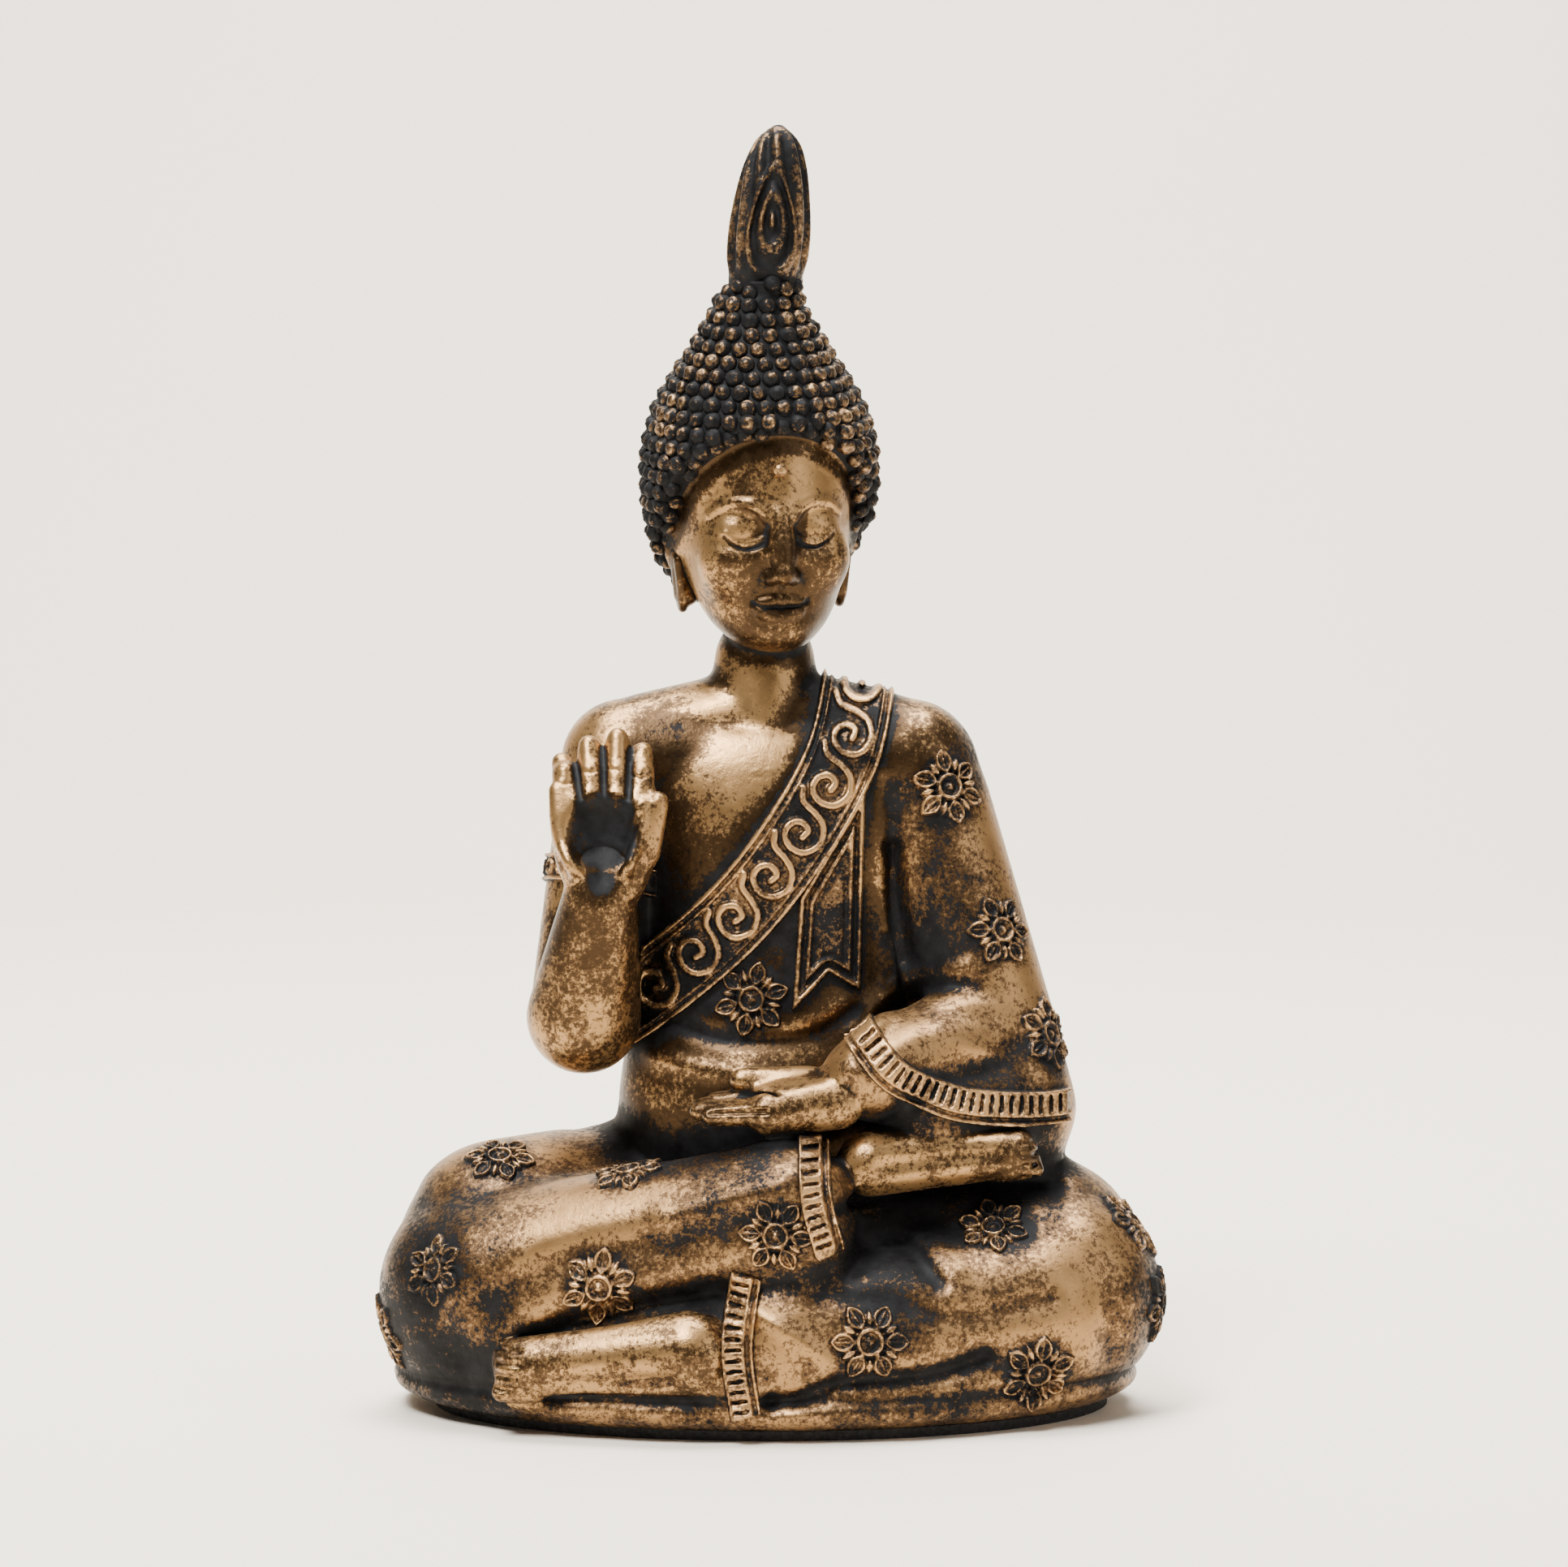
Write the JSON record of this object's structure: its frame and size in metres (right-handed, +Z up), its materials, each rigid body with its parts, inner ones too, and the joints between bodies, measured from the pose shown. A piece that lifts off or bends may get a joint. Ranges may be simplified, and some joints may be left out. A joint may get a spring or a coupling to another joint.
{
  "type": "seated buddha statue",
  "caption": "Seated cross-legged Buddha figure with a raised right hand, a flame finial, curled hair and an ornamented robe, on a flat felt foot.",
  "frame": {"origin": "centre of the flat felt foot, on the surface that the figure stands on", "axes": "+Z up; the figure faces -Y; its own left hand is on +X"},
  "size_m": [0.1223, 0.0732, 0.1965],
  "materials": {
    "robe_gold": "cast resin, antique gold dry-brushed over black, satin",
    "skin_gold": "cast resin, antique gold with black left in the hollows, satin",
    "trim_gold": "cast resin, raised edges rubbed bright gold over black",
    "hair_black": "cast resin, black with gold rubbed on the high points",
    "raw_resin": "plain black cast resin plate",
    "felt": "black felt, glued on",
    "pin_steel": "plain steel dowel"
  },
  "bodies": {
    "root": {"base_felt": "felt", "base_plate": "raw_resin", "lower_body": "robe_gold", "torso": "skin_gold", "left_sleeve": "robe_gold", "right_forearm": "skin_gold", "right_hand": "skin_gold", "left_hand": "skin_gold", "right_foot": "skin_gold", "left_foot": "skin_gold", "head": "skin_gold", "hair_cap": "hair_black", "hair_curls": "hair_black", "flame_finial": "hair_black", "urna": "trim_gold", "right_ear": "skin_gold", "left_ear": "skin_gold", "neck_dowel": "pin_steel", "finial_pin": "pin_steel", "right_elbow_pin": "pin_steel", "right_wrist_pin": "pin_steel", "left_wrist_pin": "pin_steel", "armlet": "trim_gold", "sash_band": "robe_gold", "sash_scrolls": "trim_gold", "sash_pennant": "robe_gold", "sleeve_hem": "trim_gold", "right_leg_hem": "trim_gold", "left_leg_hem": "trim_gold", "leg_rosettes": "trim_gold", "robe_rosettes": "trim_gold", "sleeve_rosettes": "trim_gold"}
  },
  "joints": []
}
